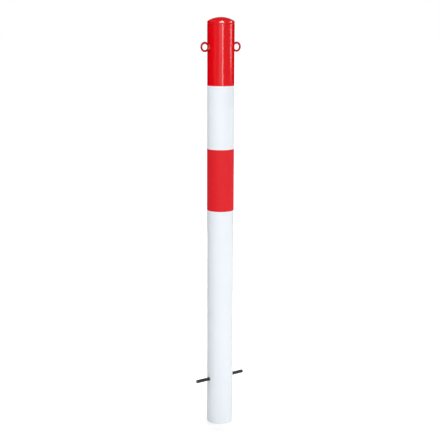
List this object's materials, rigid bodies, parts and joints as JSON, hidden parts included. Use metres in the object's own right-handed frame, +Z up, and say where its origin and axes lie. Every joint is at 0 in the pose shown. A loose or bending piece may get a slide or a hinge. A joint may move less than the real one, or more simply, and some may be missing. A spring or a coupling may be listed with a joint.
{
  "type": "barrier post",
  "caption": "Round steel barrier post for setting in concrete, with a domed cap, ring eyes for a chain, red and white bands and a ribbed anchor bar across its foot.",
  "frame": {"origin": "centre of the tube's open lower end", "axes": "+Z up along the post, +X along the anchor bar and through the right chain eye, -Y the side seen from the front"},
  "size_m": [0.162, 0.077, 1.1838],
  "materials": {
    "white_coat": "white powder coat, semi-gloss; the top stretch of the tube is coated red",
    "red_coat": "red powder coat, glossy",
    "red_film": "red reflective film, flat in daylight",
    "ribbed_steel": "hot-rolled ribbed bar with dark mill scale"
  },
  "bodies": {
    "root": {"post_tube": "white_coat", "end_cap": "red_coat", "cap_weld": "red_coat", "reflective_band": "red_film", "chain_eye_left": "red_coat", "chain_eye_right": "red_coat", "eye_weld_left": "red_coat", "eye_weld_right": "red_coat", "anchor_bar": "ribbed_steel"}
  },
  "joints": []
}
